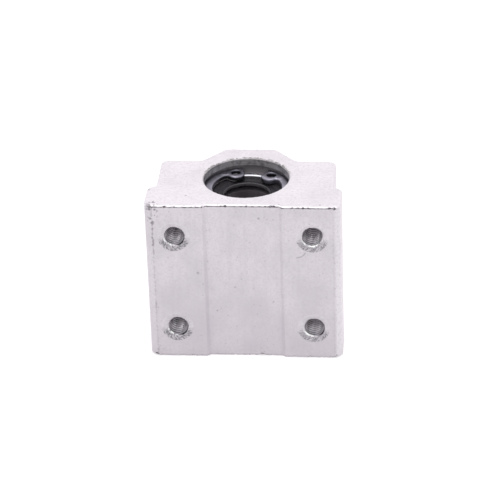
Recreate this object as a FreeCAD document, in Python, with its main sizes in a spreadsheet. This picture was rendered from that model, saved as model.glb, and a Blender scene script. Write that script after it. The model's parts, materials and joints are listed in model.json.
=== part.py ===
"""Linear bearing block: an aluminium block that carries a recirculating ball bearing for an 8 mm shaft.

The frame has its origin on the shaft axis, on the end face that the block stands on. +Z runs along the
shaft, X across the block and -Y out of the face that is bolted down. Lengths are in millimetres.
"""
import FreeCAD, Part
import math
import os
import re
import Sketcher

doc = FreeCAD.newDocument("linear_bearing_block")

# ---------------------------------------------------------------------------------------------
# Driving dimensions
# ---------------------------------------------------------------------------------------------
SIZES = [
    # the block's outline across the shaft
    ("block_width", 34.0, "across the bolted face"),
    ("block_height", 22.0, "from the bolted face to the crown"),
    ("axis_height", 11.0, "from the bolted face to the shaft axis"),
    ("foot_thickness", 6.8, "side wall of the wide foot"),
    ("foot_ledge_rise", 0.8, "how far the foot's ledge climbs to the neck"),
    ("neck_width", 31.0, "across the body above the foot"),
    ("shoulder_height", 17.4, "from the bolted face to the shoulders"),
    ("crown_foot_width", 16.8, "the crown where it leaves the shoulders"),
    ("crown_width", 8.8, "the flat on top of the crown"),
    ("relief_width", 13.8, "shallow relief between the two bolted lands"),
    ("relief_depth", 0.5, "how deep the relief is"),
    ("relief_slope", 0.55, "width of each of the relief's sloping walls"),
    # its roundings
    ("foot_edge_radius", 1.35, "long edges of the bolted face"),
    ("foot_ledge_radius", 1.8, "outer edge of the foot's ledge"),
    ("neck_root_radius", 0.3, "where the neck meets the ledge"),
    ("shoulder_radius", 1.5, "outer edges of the shoulders"),
    ("crown_root_radius", 1.2, "where the crown meets the shoulders"),
    ("crown_edge_radius", 1.1, "edges of the crown"),
    ("relief_edge_radius", 0.3, "edges of the relief"),
    ("end_bevel", 0.15, "bevel round both end faces"),
    # the screw holes
    ("hole_spacing_across", 24.0, "screw holes, across the shaft"),
    ("hole_spacing_along", 18.0, "screw holes, along the shaft"),
    ("screw_diameter", 4.0, "M4, the root of the tapped thread"),
    ("tapped_depth", 8.0, "length of the tapped stretch"),
    ("through_diameter", 3.4, "clearance drill behind the thread"),
    ("countersink_diameter", 5.2, "mouth of each screw hole"),
    # the bore and its two retaining rings
    ("bearing_length", 24.0, "between the two retaining rings"),
    ("mouth_depth", 1.4, "from an end face of the block to its ring groove"),
    ("bore_bevel", 0.2, "bevel at both mouths of the bore"),
    ("ring_groove_depth", 0.35, "grooves for the retaining rings"),
    ("ring_groove_play", 0.6, "groove width left over outside each ring"),
    ("ring_thickness", 1.0, "retaining ring"),
    ("ring_edge_clearance", 0.05, "between ring and groove bottom"),
    ("ring_beam_back", 2.0, "ring's width opposite its gap"),
    ("ring_beam_front", 1.33, "ring's width beside its lugs"),
    ("ring_lug_radius", 1.55, "rounded tip of each lug"),
    ("ring_lug_reach", 3.35, "from the ring's outside to the lugs' tips"),
    ("ring_lug_angle", 30.5, "from the middle of the gap to each lug, degrees"),
    ("ring_hole_diameter", 1.7, "plier hole in each lug"),
    ("ring_hole_offset", 0.35, "how far the hole lies outside the lug's centre"),
    ("ring_gap_angle", 34.0, "open angle between the lugs, degrees"),
    ("ring_fillet", 0.6, "where a lug meets the ring"),
    ("ring_bevel", 0.1, "broken edges of the ring"),
    ("ring_turn", 81.5, "direction of the gap from +X, degrees"),
    # the bearing
    ("fit_clearance", 0.01, "round the sleeve in its bore"),
    ("shaft_diameter", 8.0, "the shaft that the bearing is made for"),
    ("ball_diameter", 1.588, "1/16 inch balls"),
    ("shaft_clearance", 0.006, "between the shaft and the loaded balls"),
    ("ball_play", 0.0452, "between neighbouring balls in a turn"),
    ("ball_clearance", 0.05, "round a ball in its channel"),
    ("race_clearance", 0.03, "between the loaded balls and the sleeve"),
    ("circuit_count", 4, "ball circuits round the shaft"),
    ("turn_ball_count", 3, "balls in each turn"),
    ("sleeve_wall", 0.83, "wall of the sleeve beyond the raceways"),
    ("sleeve_bevel", 0.4, "outer edges of the sleeve"),
    ("sleeve_mouth_bevel", 0.25, "inner edges of the sleeve, where the seals slip in"),
    ("snap_groove_depth", 0.34, "two grooves round the sleeve"),
    ("snap_groove_width", 1.1, "each of them"),
    ("snap_groove_span", 17.5, "over both grooves"),
    ("cage_bore_clearance", 0.06, "between the shaft and the ball cage"),
    ("cage_race_clearance", 0.15, "between the cage and the raceways"),
    ("cage_relief_clearance", 0.1, "between the cage's collars and the sleeve"),
    ("cage_end_wall", 0.9, "least wall of the cage beyond the turning balls"),
    ("side_ring_thickness", 0.5, "wire ring that keeps the cage in"),
    ("side_ring_width", 0.95, "its radial width"),
    ("side_ring_bite", 0.3, "how deep its groove is"),
    ("side_ring_clearance", 0.04, "round the wire ring"),
    ("side_ring_gap", 40.0, "its open angle, degrees"),
    ("seal_recess", 0.15, "how far the seal lies inside the sleeve"),
    ("seal_thickness", 1.0, "rim of the seal"),
    ("seal_clearance", 0.02, "round the seal"),
    ("seal_rim_width", 1.3, "flat rim of the seal"),
    ("seal_lip_thickness", 0.55, "the wiping lip at the shaft"),
    ("seal_lip_clearance", 0.04, "between lip and shaft"),
    ("seal_dish", 0.2, "how far the seal dishes inwards"),
    ("seal_lip_bevel", 0.12, "inner edge of the lip"),
]

# Sizes worked out from them
WORKED = [
    # the ball circuits, from the shaft outwards
    ("circuit_plane", "shaft_diameter / 2 + shaft_clearance + ball_diameter / 2", "from axis to circuit"),
    ("channel_radius", "ball_diameter / 2 + ball_clearance", "channel round the balls"),
    ("turn_radius", "(ball_diameter + ball_play) / (2 * sin(90deg / turn_ball_count))", "path in a turn"),
    ("pitch", "pi * turn_radius / turn_ball_count", "from ball to ball along the path"),
    ("return_radius", "sqrt(circuit_plane ^ 2 + 4 * turn_radius ^ 2)", "from axis to the returning balls"),
    ("race_radius", "circuit_plane + ball_diameter / 2 + race_clearance", "raceways of the sleeve"),
    ("relief_radius", "return_radius + channel_radius + race_clearance / 3", "sleeve beyond the raceways"),
    ("sleeve_radius", "relief_radius + sleeve_wall", "outside of the sleeve"),
    ("bore_radius", "sleeve_radius + fit_clearance", "bore of the block"),
    # along the shaft
    ("block_length", "bearing_length + 2 * (ring_thickness + ring_groove_play + mouth_depth)", "block"),
    ("middle", "block_length / 2", "half way up the block"),
    ("bearing_start", "middle - bearing_length / 2", "lower end face of the sleeve"),
    ("bearing_end", "middle + bearing_length / 2", "upper end face of the sleeve"),
    ("side_ring_room", "side_ring_thickness + 2 * side_ring_clearance", "groove of the wire ring"),
    ("cage_half", "bearing_length / 2 - seal_recess - seal_thickness - seal_clearance - side_ring_room",
     "half the cage's length"),
    ("row_ball_count", "floor(2 * (cage_half - cage_end_wall - channel_radius - turn_radius) / pitch)",
     "balls in each straight row"),
    ("row_length", "row_ball_count * pitch", "length of a straight row"),
    ("row_start", "middle - row_length / 2", "lower end of the rows"),
    ("row_end", "middle + row_length / 2", "upper end of the rows"),
    # rings, cage and lip
    ("ring_groove_radius", "bore_radius + ring_groove_depth", "bottom of the ring grooves"),
    ("ring_radius", "ring_groove_radius - ring_edge_clearance", "outside of a retaining ring"),
    ("ring_lug_centre", "ring_radius - ring_lug_reach + ring_lug_radius", "from the axis to a lug"),
    ("cage_radius", "race_radius - cage_race_clearance", "cage between the raceways"),
    ("collar_radius", "relief_radius - cage_relief_clearance", "cage's collars at both ends"),
    ("cage_bore", "shaft_diameter / 2 + cage_bore_clearance", "inside of the cage"),
    ("lip_radius", "shaft_diameter / 2 + seal_lip_clearance", "inside of the seal's lip"),
]

sheet = doc.addObject("Spreadsheet::Sheet", "sizes")
for row, (alias, number, note) in enumerate(SIZES, start=1):
    sheet.set(f"A{row}", note)
    sheet.set(f"B{row}", str(number))
    sheet.setAlias(f"B{row}", alias)
doc.recompute()

X = FreeCAD.Vector(1, 0, 0)
Z = FreeCAD.Vector(0, 0, 1)
HOME = {alias: "sizes" for alias, number, note in SIZES}


def bound(formula):
    """Turn a formula of plain aliases into one that reads them from the sheets."""
    def home(match):
        word = match[0]
        return f"{HOME[word]}.{word}" if word in HOME else word
    return re.sub(r"[a-z_]+", home, formula)


worked = doc.addObject("Spreadsheet::Sheet", "worked")
for row, (alias, formula, note) in enumerate(WORKED, start=1):
    worked.set(f"A{row}", note)
    worked.set(f"B{row}", "=" + bound(formula).replace("worked.", ""))
    worked.setAlias(f"B{row}", alias)
    HOME[alias] = "worked"
    doc.recompute()


def size(alias):
    """The number that a cell holds, driving or worked out."""
    return float(doc.getObject(HOME[alias]).get(alias))


# ---------------------------------------------------------------------------------------------
# Helpers
# ---------------------------------------------------------------------------------------------
SAME_PLACE = 1e-3


def new_body(label):
    """A PartDesign body whose label names its file."""
    body = doc.addObject("PartDesign::Body", label)
    body.Label = label
    return body


def new_sketch(body, name, plane, height="0"):
    """An empty sketch on one of the body's own origin planes, lifted along that plane's normal."""
    sketch = body.newObject("Sketcher::SketchObject", name)
    origin = [item for item in body.Origin.OriginFeatures if item.Role == plane][0]
    sketch.AttachmentSupport = [(origin, "")]
    sketch.MapMode = "FlatFace"
    sketch.setExpression("AttachmentOffset.Base.z", bound(height))
    return sketch


def pin_point(sketch, element, place, across, up):
    """Hold a point of the sketch at two formulas, measured from the sketch's origin."""
    for kind, formula in (("DistanceX", across), ("DistanceY", up)):
        here = sketch.getPoint(element, place)
        now = here.x if kind == "DistanceX" else here.y
        index = sketch.addConstraint(Sketcher.Constraint(kind, -1, 1, element, place, now))
        sketch.setExpression(f"Constraints[{index}]", bound(formula))


def draw_polygon(sketch, corners):
    """A closed outline whose corners are pairs of formulas."""
    count = len(corners)
    for turn in range(count):
        start = 2 * math.pi * turn / count
        end = 2 * math.pi * (turn + 1) / count
        sketch.addGeometry(Part.LineSegment(
            FreeCAD.Vector(math.cos(start), math.sin(start), 0),
            FreeCAD.Vector(math.cos(end), math.sin(end), 0)))
    for line in range(count):
        sketch.addConstraint(Sketcher.Constraint("Coincident", line, 2, (line + 1) % count, 1))
    for line, (across, up) in enumerate(corners):
        pin_point(sketch, line, 1, across, up)


def draw_circle(sketch, across, up, radius):
    """A circle whose centre and radius are formulas."""
    circle = sketch.addGeometry(Part.Circle(FreeCAD.Vector(1, 1, 0), Z, 1))
    index = sketch.addConstraint(Sketcher.Constraint("Radius", circle, 1))
    sketch.setExpression(f"Constraints[{index}]", bound(radius))
    pin_point(sketch, circle, 3, across, up)


def draw_racetrack(sketch, radius):
    """A stadium about the ball path: two straight runs joined by two half turns, of the given radius."""
    middle_line = size("turn_radius")
    ends = (size("row_end"), size("row_start"))
    reach = size("turn_radius")
    arcs = [
        sketch.addGeometry(Part.ArcOfCircle(
            Part.Circle(FreeCAD.Vector(middle_line, end, 0), Z, reach), first, first + math.pi))
        for end, first in zip(ends, (0, math.pi))]
    sides = [
        sketch.addGeometry(Part.LineSegment(
            FreeCAD.Vector(middle_line + side * reach, ends[0], 0),
            FreeCAD.Vector(middle_line + side * reach, ends[1], 0)))
        for side in (1, -1)]
    top, bottom = arcs
    right, left = sides
    joins = ((top, 1, right, 1), (top, 2, left, 1), (bottom, 2, right, 2), (bottom, 1, left, 2))
    for join in joins:
        sketch.addConstraint(Sketcher.Constraint("Tangent", *join))
    sketch.addConstraint(Sketcher.Constraint("Equal", *arcs))
    index = sketch.addConstraint(Sketcher.Constraint("Radius", arcs[0], reach))
    sketch.setExpression(f"Constraints[{index}]", bound(radius))
    pin_point(sketch, arcs[0], 3, "turn_radius", "row_end")
    pin_point(sketch, arcs[1], 3, "turn_radius", "row_start")


def add_pad(body, name, sketch, length):
    """Thicken a sketch along its normal."""
    pad = body.newObject("PartDesign::Pad", name)
    pad.Profile = sketch
    pad.setExpression("Length", bound(length))
    doc.recompute()
    return pad


def add_pocket(body, name, sketch, depth=None, forward=False):
    """Cut a sketch's outline against its normal, or along it, to a depth or right through."""
    before = body.Shape.Volume
    pocket = body.newObject("PartDesign::Pocket", name)
    pocket.Profile = sketch
    pocket.Reversed = forward
    if depth is None:
        pocket.Type = "ThroughAll"
    else:
        pocket.setExpression("Length", bound(depth))
    doc.recompute()
    if body.Shape.Volume > before - SAME_PLACE:
        raise RuntimeError(f"{name} cuts nothing")
    return pocket


def add_revolution(body, name, sketch):
    """Turn a sketch's outline round its vertical axis."""
    revolution = body.newObject("PartDesign::Revolution", name)
    revolution.Profile = sketch
    revolution.ReferenceAxis = (sketch, ["V_Axis"])
    revolution.Angle = 360
    doc.recompute()
    return revolution


def add_polar_pattern(body, name, originals, count):
    """Repeat features evenly round Z."""
    pattern = body.newObject("PartDesign::PolarPattern", name)
    axis = [item for item in body.Origin.OriginFeatures if item.Role == "Z_Axis"][0]
    pattern.Originals = originals
    pattern.Axis = (axis, [""])
    pattern.Angle = 360
    pattern.setExpression("Occurrences", bound(count))
    body.Tip = pattern
    doc.recompute()
    return pattern


def add_rounding(body, kind, name, property_name, amount, edges):
    """Fillet or chamfer the edges of the body so far that the test picks out."""
    base = body.Tip
    picked = [f"Edge{place}" for place, edge in enumerate(base.Shape.Edges, start=1) if edges(edge)]
    if not picked:
        raise RuntimeError(f"{name} finds no edge")
    rounding = body.newObject(f"PartDesign::{kind}", name)
    rounding.Base = (base, picked)
    rounding.setExpression(property_name, bound(amount))
    doc.recompute()
    return rounding


def is_upright(edge):
    """Whether an edge is a straight line along Z."""
    return isinstance(edge.Curve, Part.Line) and abs(edge.Curve.Direction.z) > 1 - SAME_PLACE


def stands_at(across, up):
    """A test for upright edges at plus or minus one distance across and one height."""
    def test(edge):
        if not is_upright(edge):
            return False
        place = edge.Vertexes[0].Point
        return abs(abs(place.x) - across) < SAME_PLACE and abs(place.y - up) < SAME_PLACE
    return test


def lies_at_height(heights):
    """A test for edges that lie flat at one of some heights."""
    def test(edge):
        box = edge.BoundBox
        return box.ZLength < SAME_PLACE and any(abs(box.ZMin - height) < SAME_PLACE for height in heights)
    return test


def cut_gap(body, angle, height):
    """Open a ring with a wedge about +X that reaches past the bore."""
    reach = "2 * bore_radius"
    corners = [("0", "0")]
    for side in ("-", ""):
        corners.append((f"{reach} * cos({angle} * 0.5deg)", f"{side}{reach} * sin({angle} * 0.5deg)"))
    wedge = new_sketch(body, "gap_wedge", "XY_Plane", height)
    draw_polygon(wedge, corners)
    add_pocket(body, "gap", wedge)


def place_at_end(body, end, turn=0.0):
    """Leave a piece made for the upper end there, or turn it over for the lower end."""
    spin = FreeCAD.Placement(FreeCAD.Vector(), FreeCAD.Rotation(Z, turn))
    over = FreeCAD.Placement(Z * size("block_length"), FreeCAD.Rotation(X, 180))
    body.Placement = spin if end == "upper" else over * spin


# ---------------------------------------------------------------------------------------------
# The block: a milled aluminium extrusion, seen along the shaft
# ---------------------------------------------------------------------------------------------
def make_block():
    """Extruded outline, then the bore with its ring grooves, then the four screw holes."""
    body = new_body("block")
    outline = new_sketch(body, "end_outline", "XY_Plane")
    bolted = "-axis_height"
    ledge = "foot_thickness - axis_height"
    ledge_top = "foot_thickness + foot_ledge_rise - axis_height"
    shoulder = "shoulder_height - axis_height"
    crown = "block_height - axis_height"
    relief = "relief_depth - axis_height"
    right = [
        ("relief_width / 2 - relief_slope", relief),
        ("relief_width / 2", bolted),
        ("block_width / 2", bolted),
        ("block_width / 2", ledge),
        ("neck_width / 2", ledge_top),
        ("neck_width / 2", shoulder),
        ("crown_foot_width / 2", shoulder),
        ("crown_width / 2", crown),
    ]
    left = [(f"-({across})", up) for across, up in reversed(right)]
    draw_polygon(outline, right + left)
    add_pad(body, "extrusion", outline, "block_length")

    foot = -size("axis_height")
    roundings = [
        ("foot_edges", "foot_edge_radius", size("block_width") / 2, foot),
        ("ledge_edges", "foot_ledge_radius", size("block_width") / 2, foot + size("foot_thickness")),
        ("neck_roots", "neck_root_radius", size("neck_width") / 2,
         foot + size("foot_thickness") + size("foot_ledge_rise")),
        ("shoulders", "shoulder_radius", size("neck_width") / 2, foot + size("shoulder_height")),
        ("crown_roots", "crown_root_radius", size("crown_foot_width") / 2, foot + size("shoulder_height")),
        ("crown_edges", "crown_edge_radius", size("crown_width") / 2, foot + size("block_height")),
        ("relief_edges", "relief_edge_radius", size("relief_width") / 2, foot),
        ("relief_roots", "relief_edge_radius", size("relief_width") / 2 - size("relief_slope"),
         foot + size("relief_depth")),
    ]
    for name, radius, across, up in roundings:
        add_rounding(body, "Fillet", name, "Radius", radius, stands_at(across, up))
    ends = lies_at_height([0, size("block_length")])
    add_rounding(body, "Chamfer", "end_bevels", "Size", "end_bevel", ends)

    bore = new_sketch(body, "bore_profile", "XZ_Plane")
    near = [
        ("0", "0"),
        ("bore_radius + bore_bevel", "0"),
        ("bore_radius", "bore_bevel"),
        ("bore_radius", "mouth_depth"),
        ("ring_groove_radius", "mouth_depth"),
        ("ring_groove_radius", "bearing_start"),
        ("bore_radius", "bearing_start"),
    ]
    far = [(across, f"block_length - ({up})") for across, up in reversed(near)]
    draw_polygon(bore, near + far)
    before = body.Shape.Volume
    cut = body.newObject("PartDesign::Groove", "bore_and_grooves")
    cut.Profile = bore
    cut.ReferenceAxis = (bore, ["V_Axis"])
    cut.Angle = 360
    doc.recompute()
    if body.Shape.Volume > before - 1:
        raise RuntimeError("the bore cuts nothing")

    def hole_sketch(name, diameter):
        """Four circles on the bolted face."""
        sketch = new_sketch(body, name, "XZ_Plane", "axis_height")
        for side in ("-", ""):
            for end in ("-", "+"):
                draw_circle(sketch, f"{side}hole_spacing_across / 2", f"middle {end} hole_spacing_along / 2",
                            f"{diameter} / 2")
        return sketch

    add_pocket(body, "through_holes", hole_sketch("through_circles", "through_diameter"))
    add_pocket(body, "tapped_holes", hole_sketch("tapped_circles", "screw_diameter"), "tapped_depth")

    def is_mouth(edge):
        """Whether an edge is the mouth of a screw hole on the bolted face."""
        round_edge = isinstance(edge.Curve, Part.Circle)
        return round_edge and abs(edge.Curve.Center.y - foot) < SAME_PLACE

    bevel = "(countersink_diameter - screw_diameter) / 2"
    add_rounding(body, "Chamfer", "countersinks", "Size", bevel, is_mouth)
    return body


# ---------------------------------------------------------------------------------------------
# The bearing: sleeve, cage, wire rings and seals
# ---------------------------------------------------------------------------------------------
def make_sleeve():
    """Hardened sleeve: return tracks lie between the raceways, and wider bores leave room for the turns."""
    body = new_body("bearing_sleeve")
    profile = new_sketch(body, "sleeve_profile", "XZ_Plane")
    cage_end = "middle - cage_half"
    ring_far = f"{cage_end} - side_ring_room"
    groove = "middle - snap_groove_span / 2"
    near = [
        ("race_radius", "row_start"),
        ("relief_radius", "row_start"),
        ("relief_radius", cage_end),
        ("relief_radius + side_ring_bite", cage_end),
        ("relief_radius + side_ring_bite", ring_far),
        ("relief_radius", ring_far),
        ("relief_radius", "bearing_start + sleeve_mouth_bevel"),
        ("relief_radius + sleeve_mouth_bevel", "bearing_start"),
        ("sleeve_radius - sleeve_bevel", "bearing_start"),
        ("sleeve_radius", "bearing_start + sleeve_bevel"),
        ("sleeve_radius", groove),
        ("sleeve_radius - snap_groove_depth", groove),
        ("sleeve_radius - snap_groove_depth", f"{groove} + snap_groove_width"),
        ("sleeve_radius", f"{groove} + snap_groove_width"),
    ]
    far = [(across, f"block_length - ({up})") for across, up in reversed(near)]
    draw_polygon(profile, near + far)
    add_revolution(body, "turned_sleeve", profile)
    track = new_sketch(body, "return_track_circle", "XY_Plane", "bearing_start")
    draw_circle(track, "circuit_plane", "2 * turn_radius", "channel_radius")
    pocket = add_pocket(body, "return_track", track, forward=True)
    add_polar_pattern(body, "return_tracks", [pocket], "circuit_count")
    return body


def make_cage():
    """Moulded cage: each circuit is a flat stadium in a plane that touches the loaded row."""
    body = new_body("ball_cage")
    profile = new_sketch(body, "cage_profile", "XZ_Plane")
    near = [
        ("cage_bore", "middle - cage_half"),
        ("collar_radius", "middle - cage_half"),
        ("collar_radius", "row_start - ball_clearance"),
        ("cage_radius", "row_start - ball_clearance"),
    ]
    far = [(across, f"block_length - ({up})") for across, up in reversed(near)]
    draw_polygon(profile, near + far)
    add_revolution(body, "moulded_tube", profile)

    walls = new_sketch(body, "channel_walls", "YZ_Plane", "circuit_plane")
    draw_racetrack(walls, "turn_radius + channel_radius")
    draw_racetrack(walls, "turn_radius - channel_radius")
    opening = add_pocket(body, "channel_opening", walls, forward=True)

    path = new_sketch(body, "ball_path", "YZ_Plane", "circuit_plane")
    draw_racetrack(path, "turn_radius")
    section = new_sketch(body, "channel_section", "XY_Plane", "middle")
    draw_circle(section, "circuit_plane", "0", "channel_radius")
    before = body.Shape.Volume
    floor = body.newObject("PartDesign::SubtractivePipe", "channel_floor")
    floor.Profile = section
    floor.Spine = (path, [])
    doc.recompute()
    if body.Shape.Volume > before - SAME_PLACE:
        raise RuntimeError("the channel's floor cuts nothing")
    add_polar_pattern(body, "channels", [opening, floor], "circuit_count")
    return body


def make_side_ring(end):
    """Open wire ring that snaps into the sleeve and keeps the cage in."""
    body = new_body(f"{end}_side_ring")
    outer = "relief_radius + side_ring_bite - side_ring_clearance"
    circles = new_sketch(body, "ring_circles", "XY_Plane", "middle + cage_half + side_ring_clearance")
    draw_circle(circles, "0", "0", outer)
    draw_circle(circles, "0", "0", f"{outer} - side_ring_width")
    add_pad(body, "ring", circles, "side_ring_thickness")
    cut_gap(body, "side_ring_gap", "bearing_end")
    place_at_end(body, end)
    return body


def make_seal(end):
    """Rubber seal: a flat rim, a shallow dish and a thin lip that wipes the shaft."""
    body = new_body(f"{end}_seal")
    profile = new_sketch(body, "seal_profile", "XZ_Plane")
    outside = "relief_radius - seal_clearance"
    outer_face = "bearing_end - seal_recess"
    inner_face = f"{outer_face} - seal_thickness"
    draw_polygon(profile, [
        (outside, inner_face),
        (outside, outer_face),
        (f"{outside} - seal_rim_width", outer_face),
        (f"{outside} - seal_rim_width - seal_dish", f"{outer_face} - seal_dish"),
        ("lip_radius + seal_lip_bevel + seal_dish", f"{outer_face} - seal_dish"),
        ("lip_radius + seal_lip_bevel", outer_face),
        ("lip_radius", f"{outer_face} - seal_lip_bevel"),
        ("lip_radius", f"{outer_face} - seal_lip_thickness"),
        (f"{outside} - seal_rim_width", inner_face),
    ])
    add_revolution(body, "moulded_seal", profile)
    place_at_end(body, end)
    return body


def make_retaining_ring(end):
    """Internal retaining ring: it narrows towards two lugs, which hold the holes for pliers."""
    body = new_body(f"{end}_retaining_ring")
    base = "bearing_end"
    top = "bearing_end + ring_thickness"
    hoop = new_sketch(body, "hoop_circles", "XY_Plane", base)
    draw_circle(hoop, "0", "0", "ring_radius")
    draw_circle(hoop, "(ring_beam_back - ring_beam_front) / 2", "0",
                "ring_radius - (ring_beam_back + ring_beam_front) / 2")
    add_pad(body, "hoop", hoop, "ring_thickness")

    def lug_circles(name, height, distance, radius):
        """One circle on each side of the gap."""
        sketch = new_sketch(body, name, "XY_Plane", height)
        for side in ("-", ""):
            draw_circle(sketch, f"({distance}) * cos(ring_lug_angle * 1deg)",
                        f"{side}({distance}) * sin(ring_lug_angle * 1deg)", radius)
        return sketch

    tips = lug_circles("lug_tips", base, "ring_lug_centre", "ring_lug_radius")
    add_pad(body, "lugs", tips, "ring_thickness")
    cut_gap(body, "ring_gap_angle", top)

    def is_lug_root(edge):
        """Whether an edge is the corner between a lug and the inside of the hoop."""
        if not is_upright(edge):
            return False
        place = edge.Vertexes[0].Point
        return math.hypot(place.x, place.y) < size("ring_radius") - size("ring_beam_front") / 2 and abs(
            math.degrees(math.atan2(place.y, place.x))) > size("ring_lug_angle")

    add_rounding(body, "Fillet", "lug_roots", "Radius", "ring_fillet", is_lug_root)
    holes = lug_circles("plier_circles", top, "ring_lug_centre + ring_hole_offset", "ring_hole_diameter / 2")
    add_pocket(body, "plier_holes", holes)
    faces = lies_at_height([size("bearing_end"), size("bearing_end") + size("ring_thickness")])
    add_rounding(body, "Chamfer", "broken_edges", "Size", "ring_bevel", faces)
    place_at_end(body, end, size("ring_turn"))
    return body


# ---------------------------------------------------------------------------------------------
# The balls: every circuit is a loaded row, a turn, a returning row and a turn
# ---------------------------------------------------------------------------------------------
def make_balls(label, circuit, places):
    """A group of separate balls at (sideways, height) formulas in the plane of one circuit."""
    heading = f"({circuit} * 360deg / circuit_count)"
    balls = []
    for order, (sideways, height) in enumerate(places, start=1):
        ball = doc.addObject("Part::Sphere", f"{label}_ball_{order}")
        ball.setExpression("Radius", bound("ball_diameter / 2"))
        along = f"circuit_plane * cos({heading}) - ({sideways}) * sin({heading})"
        across = f"circuit_plane * sin({heading}) + ({sideways}) * cos({heading})"
        ball.setExpression("Placement.Base.x", bound(along))
        ball.setExpression("Placement.Base.y", bound(across))
        ball.setExpression("Placement.Base.z", bound(height))
        balls.append(ball)
    group = doc.addObject("Part::Compound", label)
    group.Label = label
    group.Links = balls
    return group


def make_circuit(circuit):
    """The four groups of balls that travel together round one circuit."""
    steps = range(int(size("row_ball_count")))
    turns = range(int(size("turn_ball_count")))
    loaded = [("0", f"row_start + {step} * pitch") for step in steps]
    returning = [("2 * turn_radius", f"row_end - {step} * pitch") for step in steps]
    angles = [f"({turn} * 180deg / turn_ball_count)" for turn in turns]
    upper = [(f"turn_radius * (1 - cos{angle})", f"row_end + turn_radius * sin{angle}") for angle in angles]
    lower = [(f"turn_radius * (1 + cos{angle})", f"row_start - turn_radius * sin{angle}") for angle in angles]
    groups = (("loaded_balls", loaded), ("upper_turn_balls", upper), ("returning_balls", returning),
              ("lower_turn_balls", lower))
    return [make_balls(f"{name}_{circuit + 1}", circuit, places) for name, places in groups]


pieces = [make_block(), make_sleeve(), make_cage()]
for end in ("upper", "lower"):
    pieces += [make_retaining_ring(end), make_seal(end), make_side_ring(end)]
for circuit in range(int(size("circuit_count"))):
    pieces += make_circuit(circuit)
doc.recompute()

for item in doc.Objects:
    if "Invalid" in item.State or "Error" in item.State:
        raise RuntimeError(f"{item.Label} failed: {item.State}")
for piece in pieces:
    if piece.Shape.isNull() or not piece.Shape.isValid():
        raise RuntimeError(f"{piece.Label} has no valid shape")

os.makedirs("parts", exist_ok=True)
for piece in pieces:
    piece.Shape.exportStep(f"parts/{piece.Label}.step")
    print(f"{piece.Label}: {len(piece.Shape.Solids)} solids, {piece.Shape.Volume:.1f} mm3")
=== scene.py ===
# %% [markdown]
# # A linear bearing block
#
# An aluminium block holds a short ball bearing for a round shaft. The block stands on one end, so
# the shaft would run straight up through it. The face with four threaded holes is the one that a
# carriage plate is bolted to.
#
# The frame below brings in the engineering model. Its pieces keep their places; this lesson gives
# them their finishes and builds the surfaces that a plain solid leaves out: chipped edges, screw
# threads and the marks that cutters leave.

# %% Load the frame
import json
import math

import bpy
import numpy as np
from mathutils import Matrix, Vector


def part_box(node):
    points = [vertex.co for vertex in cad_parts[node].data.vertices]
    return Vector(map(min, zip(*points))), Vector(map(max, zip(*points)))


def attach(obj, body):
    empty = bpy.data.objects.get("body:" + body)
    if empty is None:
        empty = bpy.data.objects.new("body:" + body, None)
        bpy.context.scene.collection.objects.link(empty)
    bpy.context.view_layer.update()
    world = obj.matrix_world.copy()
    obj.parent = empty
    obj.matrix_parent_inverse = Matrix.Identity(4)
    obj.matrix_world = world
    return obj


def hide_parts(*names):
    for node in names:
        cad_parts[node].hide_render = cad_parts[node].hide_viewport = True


MM = 0.001
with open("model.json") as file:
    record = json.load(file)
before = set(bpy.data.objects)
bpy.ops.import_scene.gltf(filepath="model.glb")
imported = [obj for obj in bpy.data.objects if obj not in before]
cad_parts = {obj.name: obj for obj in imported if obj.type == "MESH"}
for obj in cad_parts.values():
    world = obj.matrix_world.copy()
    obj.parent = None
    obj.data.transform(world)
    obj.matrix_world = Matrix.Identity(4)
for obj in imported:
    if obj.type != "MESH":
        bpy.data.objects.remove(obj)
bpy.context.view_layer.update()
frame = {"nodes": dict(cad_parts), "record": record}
nodes = frame["nodes"]


# %% [markdown]
# ## Where things are
#
# Every place could be typed in again, but then it would go wrong as soon as the model changes. So
# it comes from the frame: the block's box, the sleeve's radius and the pattern of the screw holes
# in the record. Numbers that belong to one another are written once.

# %% Places read from the frame
FIT_GAP = 0.01 * MM
block_low, block_high = (np.array(corner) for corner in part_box("block"))
sleeve_low, sleeve_high = (np.array(corner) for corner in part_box("bearing_sleeve"))
ring_low, ring_high = (np.array(corner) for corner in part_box("upper_retaining_ring"))
mounts = {mount["name"]: mount for mount in frame["record"]["mounts"]}
holes = mounts["tapped_holes"]
drills = mounts["through_holes"]
LENGTH = block_high[2]
FACE = block_low[1]
HALF_WIDTH = -block_low[0]
SHOULDER = drills["pos_m"][1]
BORE = sleeve_high[0] + FIT_GAP
THREAD_ROOT = holes["dims"]["hole_r_mm"] * MM
DRILL = drills["dims"]["hole_r_mm"] * MM
HOLE_X = holes["dims"]["spacing_x_mm"] * MM / 2
HOLE_Z = holes["dims"]["spacing_y_mm"] * MM / 2
THREAD_START = holes["pos_m"][1]
print(f"bore {BORE / MM:.2f} mm, holes at +-{HOLE_X / MM:.0f}, +-{HOLE_Z / MM:.0f} mm")

# %% [markdown]
# ## The camera
#
# A long lens looks down on the block from a little to its right. A constraint could aim the
# camera, but it can't tilt it about its own line of sight. So the camera starts level, looking
# along +Y, and is turned three times: about its upright axis, then down, then a little round its
# line of sight. A turned axis is a row of the product of the three matrices. The Standard view
# shows a colour as it is worked out, without a film look.

# %% Camera
SWING, DIP, ROLL = 5.41, 28.68, -1.98
LENS, SENSOR = 192.0, 36.0
NEAREST, FARTHEST = 0.02, 20.0
origin_seen_at = np.array([2.02, 15.35, 462.5]) * MM  # to the right, down and ahead of the eye


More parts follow.
